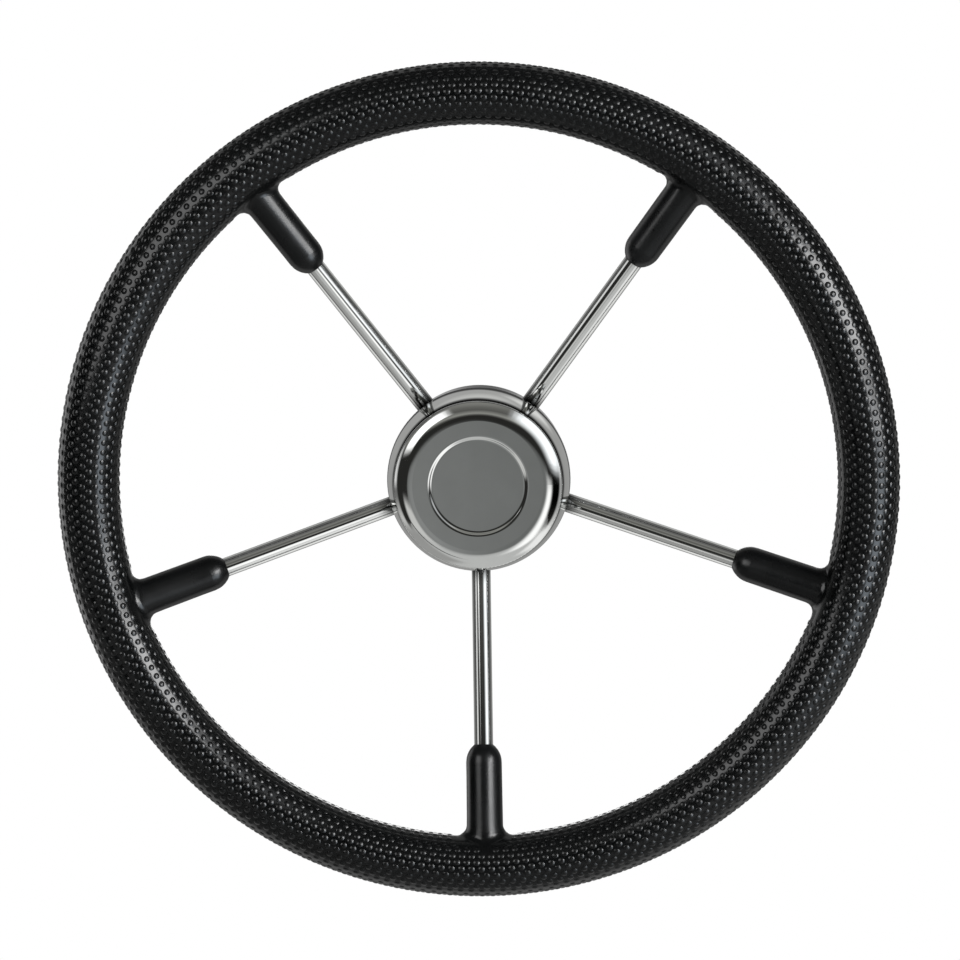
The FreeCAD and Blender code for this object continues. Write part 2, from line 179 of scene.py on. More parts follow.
class SteelSettings(bpy.types.PropertyGroup):
    """Finishes of the steel pieces, and the reach of the painted shade in their joints."""

    polish_colour: bpy.props.FloatVectorProperty(
        name="Polished colour", description="Reflectance of the polished steel",
        subtype="COLOR", size=3, min=0.0, max=1.0, default=(0.715, 0.722, 0.710),
    )
    polish_roughness: bpy.props.FloatProperty(
        name="Polished roughness", description="Mean roughness of the polished steel",
        subtype="FACTOR", min=0.0, max=1.0, default=0.05,
    )
    spoke_roughness: bpy.props.FloatProperty(
        name="Spoke roughness", description="Mean roughness of the polished bars",
        subtype="FACTOR", min=0.0, max=1.0, default=0.07,
    )
    wave: bpy.props.FloatProperty(
        name="Polish wave", description="Depth of the unevenness that polishing leaves on the hub",
        subtype="DISTANCE", unit="LENGTH", min=0.0, default=0.03 * MM,
    )
    # Painted shade: reach of the darkening that stands for shade in the hub's joints
    hub_joint_reach: bpy.props.FloatProperty(
        name="Hub joint reach", description="How far the hub's joints darken the steel beside them",
        subtype="DISTANCE", unit="LENGTH", min=0.0, default=4.0 * MM,
    )
    # Painted shade: reach of the darkening that stands for shade where the bars meet other pieces
    spoke_joint_reach: bpy.props.FloatProperty(
        name="Spoke joint reach", description="How far the bars' joints darken the steel beside them",
        subtype="DISTANCE", unit="LENGTH", min=0.0, default=8.0 * MM,
    )
    turned_colour: bpy.props.FloatVectorProperty(
        name="Turned colour", description="Reflectance of the turned boss",
        subtype="COLOR", size=3, min=0.0, max=1.0, default=(0.52, 0.52, 0.51),
    )
    turned_roughness: bpy.props.FloatProperty(
        name="Turned roughness", description="Mean roughness of the turned boss",
        subtype="FACTOR", min=0.0, max=1.0, default=0.3,
    )


class StageSettings(bpy.types.PropertyGroup):
    """Camera, lamps and surroundings."""

    camera_azimuth: bpy.props.FloatProperty(
        name="Camera azimuth", description="How far right of the wheel's front the camera stands",
        subtype="ANGLE", default=math.radians(1.27),
    )
    camera_elevation: bpy.props.FloatProperty(
        name="Camera elevation", description="How far above the wheel's front the camera stands",
        subtype="ANGLE", default=math.radians(7.95),
    )
    camera_roll: bpy.props.FloatProperty(
        name="Camera roll", description="How far the camera is turned about its own line of sight",
        subtype="ANGLE", default=math.radians(-1.12),
    )
    camera_distance: bpy.props.FloatProperty(
        name="Camera distance", description="Distance from the rim's centre to the camera",
        subtype="DISTANCE", unit="LENGTH", min=0.1, default=1.5,
    )
    camera_shift_right: bpy.props.FloatProperty(
        name="Camera shift right", description="How far the camera stands right of that line",
        subtype="DISTANCE", unit="LENGTH", default=0.87 * MM,
    )
    camera_shift_up: bpy.props.FloatProperty(
        name="Camera shift up", description="How far the camera stands above that line",
        subtype="DISTANCE", unit="LENGTH", default=2.1 * MM,
    )
    lens: bpy.props.FloatProperty(
        name="Lens", description="Focal length in millimetres on a 36 mm sensor", min=10.0, default=135.17,
    )
    key_radiance: bpy.props.FloatProperty(
        name="Right softbox", description="Radiance of the softbox at the right", min=0.0, default=8.0,
    )
    sheen_radiance: bpy.props.FloatProperty(
        name="Sheen radiance", description="Radiance of the lamp as the black rubber mirrors it",
        min=0.0, default=30.0,
    )
    left_sheen_share: bpy.props.FloatProperty(
        name="Left sheen share", description="Radiance of the rubber's left lamp against its right one",
        subtype="FACTOR", min=0.0, max=1.0, default=0.25,
    )
    edge_radiance: bpy.props.FloatProperty(
        name="Edge radiance", description="Radiance of the lamp that lines the rim's left edge",
        min=0.0, default=1.6,
    )
    back_radiance: bpy.props.FloatProperty(
        name="Back radiance", description="Radiance of the lamp behind the wheel", min=0.0, default=3.0,
    )
    fill_radiance: bpy.props.FloatProperty(
        name="Left softbox", description="Radiance of the softbox at the left", min=0.0, default=4.0,
    )
    ambient: bpy.props.FloatProperty(
        name="Ambient", description="Radiance of the surroundings for matt surfaces", min=0.0, default=0.1,
    )
    floor_height: bpy.props.FloatProperty(
        name="Floor height", description="Height of the floor under the wheel's centre",
        subtype="DISTANCE", unit="LENGTH", default=-4.2,
    )
    floor_size: bpy.props.FloatProperty(
        name="Floor size", description="Width of the floor",
        subtype="DISTANCE", unit="LENGTH", default=40.0,
    )
    room_radius: bpy.props.FloatProperty(
        name="Room radius", description="Radius of the room that shiny surfaces mirror",
        subtype="DISTANCE", unit="LENGTH", min=3.5, default=4.0,
    )


# Node helpers


def add_node(tree, kind, **inputs):
    """One shader node, with its sockets set by name."""
    node = tree.nodes.new(kind)
    for name, value in inputs.items():
        node.inputs[name.replace("_", " ")].default_value = value
    return node


def new_material(name):
    """An empty node material and its Principled shader."""
    material = bpy.data.materials.new(name)
    material.use_nodes = True
    tree = material.node_tree
    tree.nodes.clear()
    shader = add_node(tree, "ShaderNodeBsdfPrincipled")
    output = add_node(tree, "ShaderNodeOutputMaterial")
    tree.links.new(shader.outputs["BSDF"], output.inputs["Surface"])
    return material, tree, shader


def multiplied(tree, colour, factor):
    """A colour times a number."""
    mix = tree.nodes.new("ShaderNodeMix")
    mix.data_type = "RGBA"
    mix.blend_type = "MULTIPLY"
    mix.inputs["Factor"].default_value = 1.0
    tree.links.new(colour, mix.inputs["A"])
    tree.links.new(factor, mix.inputs["B"])
    return mix.outputs["Result"]


def painted_crevice_shade(tree, colour, reach):
    """Painted shade: a colour that darkens where another surface is within reach, as shade falls in the
    joints of the hub.
    """
    # Painted shade: its darkest colour factor, and the occlusion values at which it is darkest and at which
    # it vanishes
    darkest, closed, open_sky = 0.06, 0.5, 0.96
    near = add_node(tree, "ShaderNodeAmbientOcclusion", Distance=reach)
    near.samples = 8
    shade = ranged(tree, near.outputs["AO"], darkest, 1.0, closed, open_sky)
    return multiplied(tree, colour, shade)


def noise(tree, scale, detail=4.0, stretch=(1.0, 1.0, 1.0)):
    """Noise in the wheel's own frame, as one number per point."""
    place = add_node(tree, "ShaderNodeTexCoord")
    mapping = add_node(tree, "ShaderNodeMapping")
    mapping.inputs["Scale"].default_value = stretch
    texture = add_node(tree, "ShaderNodeTexNoise", Scale=scale, Detail=detail)
    tree.links.new(place.outputs["Object"], mapping.inputs["Vector"])
    tree.links.new(mapping.outputs["Vector"], texture.inputs["Vector"])
    return texture.outputs["Fac"]


def ranged(tree, value, low, high, from_low=0.3, from_high=0.7):
    """The number mapped to low..high, from the noise's usual range unless another is given."""
    node = add_node(tree, "ShaderNodeMapRange")
    node.inputs["From Min"].default_value = from_low
    node.inputs["From Max"].default_value = from_high
    node.inputs["To Min"].default_value = low
    node.inputs["To Max"].default_value = high
    tree.links.new(value, node.inputs["Value"])
    return node.outputs["Result"]


def shaded_colour(tree, value, dark, light):
    """A colour between two shades, by a number from 0 to 1."""
    mix = tree.nodes.new("ShaderNodeMix")
    mix.data_type = "RGBA"
    mix.inputs["A"].default_value = (*dark, 1.0)
    mix.inputs["B"].default_value = (*light, 1.0)
    tree.links.new(value, mix.inputs["Factor"])
    return mix.outputs["Result"]


def scaled(colour, factor):
    """The colour, lighter or darker."""
    return tuple(min(1.0, channel * factor) for channel in colour)


def add_bump(tree, shader, value, height, strength=1.0):
    """Relief from a number, height in metres."""
    bump = add_node(tree, "ShaderNodeBump", Strength=strength, Distance=height)
    tree.links.new(value, bump.inputs["Height"])
    tree.links.new(bump.outputs["Normal"], shader.inputs["Normal"])


def dress(node_name, material):
    """Gives a CAD node its material."""
    piece = NODES[node_name]
    piece.data.materials.clear()
    piece.data.materials.append(material)


# Finishes


def shaft_distance(tree):
    """Distance of a point from the shaft's axis, in metres."""
    place = add_node(tree, "ShaderNodeTexCoord")
    flat = add_node(tree, "ShaderNodeVectorMath")
    flat.operation = "MULTIPLY"
    flat.inputs[1].default_value = (1.0, 0.0, 1.0)
    length = add_node(tree, "ShaderNodeVectorMath")
    length.operation = "LENGTH"
    tree.links.new(place.outputs["Object"], flat.inputs[0])
    tree.links.new(flat.outputs["Vector"], length.inputs[0])
    return length.outputs["Value"]


def grip_rubber(name, rim_roughness, sleeve_roughness, specular, settings):
    """Moulded black rubber with a faint cloudiness in its sheen; the plain sleeves are more matt."""
    cloud_scale, grain_scale, grain_height, grain_strength = 60.0, 2400.0, 0.01 * MM, 0.5
    darkest, lightest = 0.8, 1.25
    smoothest, roughest = 0.85, 1.15
    material, tree, shader = new_material(name)
    colour = tuple(settings.rubber_colour)
    cloud = ranged(tree, noise(tree, cloud_scale), 0.0, 1.0)
    grain = noise(tree, grain_scale, 2.0)
    tint = shaded_colour(tree, cloud, scaled(colour, darkest), scaled(colour, lightest))
    rim_inside = RIM_RADIUS - GRIP_RADIUS
    ends = (rim_inside - SLEEVE_END[0], rim_inside + SLEEVE_END[1])
    base = ranged(tree, shaft_distance(tree), sleeve_roughness, rim_roughness, *ends)
    varied = add_node(tree, "ShaderNodeMath")
    varied.operation = "MULTIPLY"
    tree.links.new(base, varied.inputs[0])
    tree.links.new(ranged(tree, cloud, smoothest, roughest, 0.0, 1.0), varied.inputs[1])
    tree.links.new(tint, shader.inputs["Base Color"])
    tree.links.new(varied.outputs["Value"], shader.inputs["Roughness"])
    shader.inputs["IOR"].default_value = 1.5
    shader.inputs["Specular IOR Level"].default_value = specular
    add_bump(tree, shader, grain, grain_height, grain_strength)
    return material


def polished_steel(name, settings, roughness, wave, reach, lip=None):
    """Polished bright steel, with a faint unevenness from the buffing.

    The steel takes painted shade within reach of a joint, and a painted dark line of shade from the outer
    to the inner radius of a lip.
    """
    buffing_scale, wave_scale, lip_shade_darkest = 90.0, 70.0, 0.08
    darkest, lightest = 0.97, 1.03
    smoothest, roughest = 0.8, 1.25
    material, tree, shader = new_material(name)
    colour = tuple(settings.polish_colour)
    buffing = ranged(tree, noise(tree, buffing_scale, 5.0), 0.0, 1.0)
    tint = shaded_colour(tree, buffing, scaled(colour, darkest), scaled(colour, lightest))
    # Painted shade of the joint's gap: a dark line across the bezel's lip
    if lip is not None:
        tint = multiplied(tree, tint, ranged(tree, shaft_distance(tree), lip_shade_darkest, 1.0, *lip))
    varied = ranged(tree, buffing, roughness * smoothest, roughness * roughest, 0.0, 1.0)
    # Painted shade in the joints, darkening the steel's colour near other pieces
    tree.links.new(painted_crevice_shade(tree, tint, reach), shader.inputs["Base Color"])
    tree.links.new(varied, shader.inputs["Roughness"])
    shader.inputs["Metallic"].default_value = 1.0
    if wave > 0.0:
        add_bump(tree, shader, noise(tree, wave_scale, 1.0), wave)
    return material


def turned_steel(settings):
    """Turned steel: fine rings about the shaft's axis."""
    ring_stretch, ring_height, ring_strength = (60.0, 9000.0, 60.0), 0.01 * MM, 0.4
    darkest, lightest = 0.85, 1.1
    smoothest, roughest = 0.8, 1.2
    material, tree, shader = new_material("turned_steel")
    colour = tuple(settings.turned_colour)
    roughness = settings.turned_roughness
    rings = noise(tree, 1.0, 3.0, ring_stretch)
    tone = ranged(tree, rings, 0.0, 1.0)
    tint = shaded_colour(tree, tone, scaled(colour, darkest), scaled(colour, lightest))
    varied = ranged(tree, tone, roughness * smoothest, roughness * roughest, 0.0, 1.0)
    tree.links.new(tint, shader.inputs["Base Color"])
    tree.links.new(varied, shader.inputs["Roughness"])
    shader.inputs["Metallic"].default_value = 1.0
    add_bump(tree, shader, rings, ring_height, ring_strength)
    return material


def seal_rubber():
    """Matt black rubber of the ring that holds the cap."""
    cloud_scale, roughness = 300.0, 0.6
    dark, light = (0.010, 0.010, 0.010), (0.018, 0.018, 0.018)
    material, tree, shader = new_material("seal_rubber")
    cloud = ranged(tree, noise(tree, cloud_scale), 0.0, 1.0)
    tree.links.new(shaded_colour(tree, cloud, dark, light), shader.inputs["Base Color"])
    shader.inputs["Roughness"].default_value = roughness
    return material


# Dots of the grip


def rim_frame(angle, section):
    """Outward normal and the two tangents of the grip, for arrays of both angles."""
    turn, tilt = np.broadcast_arrays(angle, section)
    outward = np.stack([np.sin(tilt) * np.cos(turn), -np.cos(tilt), np.sin(tilt) * np.sin(turn)], -1)
    along = np.stack([-np.sin(turn), np.zeros_like(turn), np.cos(turn)], -1)
    across = np.stack([np.cos(tilt) * np.cos(turn), np.sin(tilt), np.cos(tilt) * np.sin(turn)], -1)
    return outward, along, across


def rim_points(angle, section, height):
    """Points at a height above the grip's surface."""
    reach = GRIP_RADIUS + height
    ring = RIM_RADIUS + reach * np.sin(section)
    return np.stack([ring * np.cos(angle), RIM_PLANE - reach * np.cos(section), ring * np.sin(angle)], -1)


def wrapped(angle):
    """The same angle between -pi and pi."""
    return (angle + math.pi) % math.tau - math.pi


def dot_places(grip):
    """Angles round the wheel and round the grip of every dot that clears the sleeves' feet."""
    pitch = math.tau / grip.dots_per_row
    row_step = math.tau / grip.row_count
    sleeve_section = -(math.pi / 2 + grip.spoke_lean)
    turns, tilts = [], []
    for row in range(grip.row_count):
        tilt = grip.first_row + row * row_step
        shift = 0.5 * pitch * (row % 2)
        turn = grip.first_dot + shift + pitch * np.arange(grip.dots_per_row)
        ring = RIM_RADIUS + GRIP_RADIUS * math.sin(tilt)
        across = GRIP_RADIUS * wrapped(tilt - sleeve_section) / grip.clear_across
        nearest = wrapped((turn - FIRST_SPOKE_ANGLE + SPOKE_STEP / 2) % SPOKE_STEP - SPOKE_STEP / 2)
        along = ring * nearest / grip.clear_along
        kept = along**2 + across**2 > 1.0
        turns.append(turn[kept] % math.tau)
        tilts.append(np.full(kept.sum(), tilt))
    return np.concatenate(turns), np.concatenate(tilts)


def dot_rings(grip):
    """Radius, height and slope of each ring of a dot's dome, and its apex, all from one sphere."""
    sphere = (grip.dot_radius**2 + grip.dot_height**2) / (2 * grip.dot_height)
    sunk = sphere - grip.dot_height
    root_slope = math.acos((sunk - grip.dot_root) / sphere)
    slopes = (root_slope, root_slope / 2)
    rings = [(sphere * math.sin(slope), sphere * math.cos(slope) - sunk, slope) for slope in slopes]
    return rings, grip.dot_height


def dot_mesh(name, turns, tilts, grip):
    """One mesh of many dots, each a low dome laid on the grip's surface."""
    rings, apex_height = dot_rings(grip)
    count = len(turns)
    corners = grip.dot_segments
    spin = np.arange(corners) * math.tau / corners
    points, normals = [], []
    for radius, height, slope in rings:
        tilt = tilts[:, None] + radius * np.sin(spin) / GRIP_RADIUS
        ring = RIM_RADIUS + GRIP_RADIUS * np.sin(tilts[:, None])
        turn = turns[:, None] + radius * np.cos(spin) / ring
        outward, along, across = rim_frame(turn, tilt)
        points.append(rim_points(turn, tilt, height))
        lean = along * np.cos(spin)[:, None] + across * np.sin(spin)[:, None]
        normals.append(outward * math.cos(slope) + lean * math.sin(slope))
    points.append(rim_points(turns[:, None], tilts[:, None], apex_height))
    normals.append(rim_frame(turns[:, None], tilts[:, None])[0])
    vertices = np.concatenate(points, 1).reshape(-1, 3)
    shading = np.concatenate(normals, 1).reshape(-1, 3)

    each = corners * len(rings) + 1
    here = np.arange(corners)
    after = (here + 1) % corners
    quads = np.stack([here, here + corners, after + corners, after], -1)
    fan = np.stack([here + corners, np.full(corners, each - 1), after + corners], -1)
    starts = np.arange(count)[:, None, None] * each
    faces = [*(quads + starts).reshape(-1, 4).tolist(), *(fan + starts).reshape(-1, 3).tolist()]
    mesh = bpy.data.meshes.new(name)
    mesh.from_pydata(vertices.tolist(), [], faces)
    mesh.update()
    mesh.polygons.foreach_set("use_smooth", [True] * len(mesh.polygons))
    mesh.normals_split_custom_set_from_vertices(shading.tolist())
    return mesh


# Studio


def show_only_mirrored(piece):
    """The piece is seen in reflections and nowhere else."""
    piece.visible_camera = False
    piece.visible_diffuse = False
    piece.visible_shadow = False
    piece.visible_transmission = False
    piece.visible_volume_scatter = False


def background_switch(tree, matt, seen):
    """One shader for the camera, reflections and glass, and another for matt surfaces."""
    light_path = add_node(tree, "ShaderNodeLightPath")
    first = add_node(tree, "ShaderNodeMath")
    first.operation = "MAXIMUM"
    second = add_node(tree, "ShaderNodeMath")
    second.operation = "MAXIMUM"
    tree.links.new(light_path.outputs["Is Camera Ray"], first.inputs[0])
    tree.links.new(light_path.outputs["Is Glossy Ray"], first.inputs[1])
    tree.links.new(first.outputs["Value"], second.inputs[0])
    tree.links.new(light_path.outputs["Is Transmission Ray"], second.inputs[1])
    mix = add_node(tree, "ShaderNodeMixShader")
    tree.links.new(second.outputs["Value"], mix.inputs["Fac"])
    tree.links.new(matt, mix.inputs[1])
    tree.links.new(seen, mix.inputs[2])
    return mix.outputs["Shader"]


def studio_world(stage):
    """White behind the wheel, and a plain grey level for matt surfaces."""
    world = bpy.data.worlds.new("studio_world")
    world.use_nodes = True
    tree = world.node_tree
    tree.nodes.clear()
    level = stage.ambient
    matt = add_node(tree, "ShaderNodeBackground", Color=(level, level, level, 1.0), Strength=1.0)
    seen = add_node(tree, "ShaderNodeBackground", Color=(1.0, 1.0, 1.0, 1.0), Strength=1.0)
    output = add_node(tree, "ShaderNodeOutputWorld")
    shader = background_switch(tree, matt.outputs["Background"], seen.outputs["Background"])
    tree.links.new(shader, output.inputs["Surface"])
    bpy.context.scene.world = world


def floor_material():
    """Pale floor, plain white to the camera and in reflections."""
    material = bpy.data.materials.new("studio_floor")
    material.use_nodes = True
    tree = material.node_tree
    tree.nodes.clear()
    matt = add_node(tree, "ShaderNodeBsdfDiffuse", Color=(0.8, 0.8, 0.8, 1.0))
    seen = add_node(tree, "ShaderNodeEmission", Color=(1.0, 1.0, 1.0, 1.0), Strength=1.0)
    output = add_node(tree, "ShaderNodeOutputMaterial")
    shader = background_switch(tree, matt.outputs["BSDF"], seen.outputs["Emission"])
    tree.links.new(shader, output.inputs["Surface"])
    return material


def quad_mesh(name, width, height):
    """A flat rectangle facing its own +Z."""
    half_w, half_h = width / 2, height / 2
    mesh = bpy.data.meshes.new(name)
    corners = [(-half_w, -half_h, 0), (half_w, -half_h, 0), (half_w, half_h, 0), (-half_w, half_h, 0)]
    mesh.from_pydata(corners, [], [(0, 1, 2, 3)])
    mesh.update()
    return mesh


def add_stage_piece(name, mesh, matrix):
    """A piece of the studio."""
    piece = bpy.data.objects.new(name, mesh)
    bpy.context.scene.collection.objects.link(piece)
    piece.matrix_world = matrix
    return piece


def facing(direction, distance):
    """Place at a distance from the wheel's centre, its +Z looking back at the wheel."""
    centre = Vector((0.0, RIM_PLANE, 0.0))
    towards = Vector(direction).normalized()
    turn = towards.to_track_quat("Z", "Y").to_matrix().to_4x4()
    return Matrix.Translation(centre + towards * distance) @ turn


def direction_of(azimuth, elevation):
    """Unit vector; azimuth 0 is the wheel's front and grows to the right, both in degrees."""
    a, e = math.radians(azimuth), math.radians(elevation)
    return Vector((math.sin(a) * math.cos(e), -math.cos(a) * math.cos(e), math.sin(e)))


# What a lamp, card or strip may light, by how the names of the pieces start
GROUPS = {"metal": ("spoke_", "hub_", "rim_core"), "rubber": ("rim_grip", "grip_dots")}


def piece_groups():
    """A collection of pieces for each group, for light linking; None stands for every piece."""
    groups = {"everything": None}
    for name, starts in GROUPS.items():
        group = bpy.data.collections.new(f"{name}_pieces")
        for piece in bpy.context.scene.objects:
            if piece.type == "MESH" and piece.name.startswith(starts):
                group.objects.link(piece)
        groups[name] = group
    return groups


def light_only(piece, group):
    """Let a lamp, card or strip light one group of pieces."""
    piece.light_linking.receiver_collection = group


def add_softbox(name, place, size, radiance, mirrored_by=None):
    """A rectangular lamp, unseen by the camera: matt surfaces take its light, or one group mirrors it.

    place is the azimuth and elevation in degrees and the distance in metres, size is in metres.
    """
    azimuth, elevation, distance = place
    lamp = bpy.data.lights.new(name, "AREA")
    lamp.shape = "RECTANGLE"
    lamp.size, lamp.size_y = size
    lamp.energy = radiance * math.pi * lamp.size * lamp.size_y
    piece = bpy.data.objects.new(name, lamp)
    bpy.context.scene.collection.objects.link(piece)
    piece.matrix_world = facing(direction_of(azimuth, elevation), distance)
    piece.visible_camera = False
    piece.visible_diffuse = mirrored_by is None
    piece.visible_glossy = mirrored_by is not None
    light_only(piece, mirrored_by)
    return piece


def add_lamps(stage, rubber):
    """Two softboxes for matt surfaces, and the four lamps that draw the light bands on the rubber."""
    left_sheen = stage.sheen_radiance * stage.left_sheen_share
    add_softbox("softbox_right", (47.9, 14.5, 2.125), (1.20, 1.30), stage.key_radiance)
    add_softbox("softbox_left", (-37.8, 19.7, 1.42), (0.72, 0.76), stage.fill_radiance)
    add_softbox("right_sheen", (47.0, 14.0, 2.125), (1.15, 1.25), stage.sheen_radiance, rubber)
    add_softbox("left_sheen", (-37.8, 19.7, 1.372), (0.70, 0.74), left_sheen, rubber)
    add_softbox("left_edge", (-120.0, 0.0, 2.40), (1.30, 2.40), stage.edge_radiance, rubber)
    add_softbox("back_sheen", (178.0, 3.0, 2.40), (0.90, 0.90), stage.back_radiance, rubber)


class Card(NamedTuple):
    """A soft-edged card of the studio, seen only in reflections.

    Its angles are in degrees as seen from the wheel and its distance is in metres. The softness
    gives the share of the width and of the height that fades out.
    """

    azimuth: float
    elevation: float
    distance: float
    wide: float
    high: float
    radiance: tuple
    softness: tuple
    roll: float = 0.0
    lights: str = "everything"


class Arc(NamedTuple):
    """A soft-edged strip of light bent round the wheel's axis, seen only in reflections.

    polar is measured from straight ahead of the wheel and turn from its right, both in degrees,
    and the distance is in metres. The softness gives the shares along and across that fade out.
    """

    polar: tuple
    turn: tuple
    distance: float
    radiance: tuple
    softness: tuple
    lights: str = "everything"


# The table's cards lie in front of the wheel and below, and the others are named for their sides
CARDS = {
    "table_low": Card(0.0, -55.0, 3.00, 90.0, 90.0, (0.62, 0.625, 0.62), (0.4, 0.58)),
    "table_core": Card(0.0, -13.0, 2.60, 46.0, 26.0, (0.178, 0.184, 0.182), (0.25, 0.5)),
    "table_tone": Card(-9.0, -15.0, 2.20, 26.0, 38.0, (0.31, 0.317, 0.315), (1.0, 1.0)),
    "table_far": Card(-62.0, -48.0, 2.55, 60.0, 44.0, (0.40, 0.40, 0.395), (0.4, 0.5)),
    "table_left": Card(-27.0, -21.0, 2.50, 28.0, 22.0, (0.72, 0.72, 0.71), (0.6, 0.6)),
    "table_glow": Card(22.0, -22.0, 2.40, 30.0, 36.0, (1.4, 1.4, 1.4), (0.9, 0.4)),
    "table_edge": Card(-31.0, -32.0, 2.20, 46.0, 4.0, (0.02, 0.02, 0.02), (0.6, 0.8), roll=-42.0),
    "right_wall": Card(64.0, -8.0, 2.60, 16.0, 40.0, (0.50, 0.50, 0.50), (0.8, 0.6)),
    "right_low": Card(50.0, -44.0, 2.60, 30.0, 30.0, (1.1, 1.1, 1.1), (0.7, 0.7)),
    "rear_right": Card(154.0, 25.0, 2.80, 32.0, 28.0, (0.85, 0.85, 0.84), (0.8, 0.7)),
    "rear_wall": Card(180.0, -9.0, 3.00, 28.0, 22.0, (0.36, 0.36, 0.36), (0.5, 0.4)),
    "left_near": Card(-71.0, 7.0, 2.60, 28.0, 36.0, (0.9, 0.9, 0.9), (0.5, 0.5), lights="metal"),
    "low_sheen": Card(46.0, -14.0, 2.20, 34.0, 46.0, (9.0, 10.0, 11.0), (0.6, 0.95), lights="rubber"),
}
ARCS = {
    "right_shine": Arc((20.0, 78.0), (-9.0, 65.0), 2.45, (1.65, 1.70, 1.75), (0.5, 1.0)),
    "left_shine": Arc((31.0, 57.0), (112.0, 169.0), 1.9, (1.9, 1.9, 1.9), (0.5, 0.3), lights="metal"),
}


def card_material(name, radiance, softness, coordinates):
    """Light of even radiance that fades out towards the card's edges."""
    material = bpy.data.materials.new(name)
    material.use_nodes = True
    tree = material.node_tree
    tree.nodes.clear()
    place = add_node(tree, "ShaderNodeTexCoord")
    split = add_node(tree, "ShaderNodeSeparateXYZ")
    tree.links.new(place.outputs[coordinates], split.inputs["Vector"])
    fades = []
    for axis, soft in zip(("X", "Y"), softness):
        centred = add_node(tree, "ShaderNodeMath")
        centred.operation = "SUBTRACT"
        centred.inputs[1].default_value = 0.5
        tree.links.new(split.outputs[axis], centred.inputs[0])
        size = add_node(tree, "ShaderNodeMath")
        size.operation = "ABSOLUTE"
        tree.links.new(centred.outputs["Value"], size.inputs[0])
        fade = add_node(tree, "ShaderNodeMapRange")
        fade.interpolation_type = "SMOOTHSTEP"
        fade.inputs["From Min"].default_value = 0.5
        fade.inputs["From Max"].default_value = 0.5 - soft / 2
        tree.links.new(size.outputs["Value"], fade.inputs["Value"])
        fades.append(fade.outputs["Result"])
    both = add_node(tree, "ShaderNodeMath")
    both.operation = "MULTIPLY"
    tree.links.new(fades[0], both.inputs[0])
    tree.links.new(fades[1], both.inputs[1])
    clear = add_node(tree, "ShaderNodeBsdfTransparent")
    glow = add_node(tree, "ShaderNodeEmission", Color=(*radiance, 1.0), Strength=1.0)
    mix = add_node(tree, "ShaderNodeMixShader")
    output = add_node(tree, "ShaderNodeOutputMaterial")
    tree.links.new(both.outputs["Value"], mix.inputs["Fac"])
    tree.links.new(clear.outputs["BSDF"], mix.inputs[1])
    tree.links.new(glow.outputs["Emission"], mix.inputs[2])
    tree.links.new(mix.outputs["Shader"], output.inputs["Surface"])
    return material


def add_card(name, card):
    """One flat card of the studio."""
    width = 2 * card.distance * math.tan(math.radians(card.wide / 2))
    height = 2 * card.distance * math.tan(math.radians(card.high / 2))
    spin = Matrix.Rotation(math.radians(card.roll), 4, "Z")
    place = facing(direction_of(card.azimuth, card.elevation), card.distance) @ spin
    piece = add_stage_piece(name, quad_mesh(name, width, height), place)
    piece.data.materials.append(card_material(name, card.radiance, card.softness, "Generated"))
    show_only_mirrored(piece)
    return piece


def from_axis(polar, spin):
    """Unit vector at an angle from straight ahead of the wheel, turned round the axis from its right."""
    flat = math.sin(polar)
    return Vector((flat * math.cos(spin), -math.cos(polar), flat * math.sin(spin)))


def add_arc(name, arc):
    """One bent strip of light, with a map of its length and width that the fading follows."""
    steps = 16
    start, end = (math.radians(turn) for turn in arc.turn)
    vertices, places = [], []
    for step in range(steps + 1):
        share = step / steps
        spin = start + share * (end - start)
        for side, angle in enumerate(arc.polar):
            vertices.append(from_axis(math.radians(angle), spin) * arc.distance)
            places.append((share, side))
    faces = [(2 * step, 2 * step + 1, 2 * step + 3, 2 * step + 2) for step in range(steps)]
    mesh = bpy.data.meshes.new(name)
    mesh.from_pydata(vertices, [], faces)
    mesh.update()
    layer = mesh.uv_layers.new(name="strip")
    for loop in mesh.loops:
        layer.data[loop.index].uv = places[loop.vertex_index]
    piece = add_stage_piece(name, mesh, Matrix.Translation((0.0, RIM_PLANE, 0.0)))
    piece.data.materials.append(card_material(name, arc.radiance, arc.softness, "UV"))
    show_only_mirrored(piece)
    return piece


def height_ramp(tree, height, steps, tint):
    """Grey levels by elevation, from pairs of degrees and radiance."""
    ramp = add_node(tree, "ShaderNodeValToRGB")
    stops = ramp.color_ramp.elements
    stops.remove(stops[1])
    for elevation, grey in steps:
        place = (math.sin(math.radians(elevation)) + 1) / 2
        stop = stops[0] if elevation == steps[0][0] else stops.new(place)
        stop.position = place
        stop.color = (*scaled(tint, grey), 1.0)
    tree.links.new(height, ramp.inputs["Fac"])
    return ramp.outputs["Color"]


def smooth_between(tree, value, start, end):
    """0 at the start, 1 at the end, and smooth between them."""
    step = add_node(tree, "ShaderNodeMapRange")
    step.interpolation_type = "SMOOTHSTEP"
    step.inputs["From Min"].default_value = start
    step.inputs["From Max"].default_value = end
    tree.links.new(value, step.inputs["Value"])
    return step.outputs["Result"]


def grey(tree, level):
    """A plain grey."""
    node = add_node(tree, "ShaderNodeRGB")
    node.outputs["Color"].default_value = (level, level, level, 1.0)
    return node.outputs["Color"]


def blended(tree, factor, first, second):
    """One colour passing into another."""
    blend = tree.nodes.new("ShaderNodeMix")
    blend.data_type = "RGBA"
    tree.links.new(factor, blend.inputs["Factor"])
    tree.links.new(first, blend.inputs["A"])
    tree.links.new(second, blend.inputs["B"])
    return blend.outputs["Result"]


def polar_height(angle):
    """Y of a unit vector at an angle in degrees from straight ahead of the wheel."""
    return -math.cos(math.radians(angle))


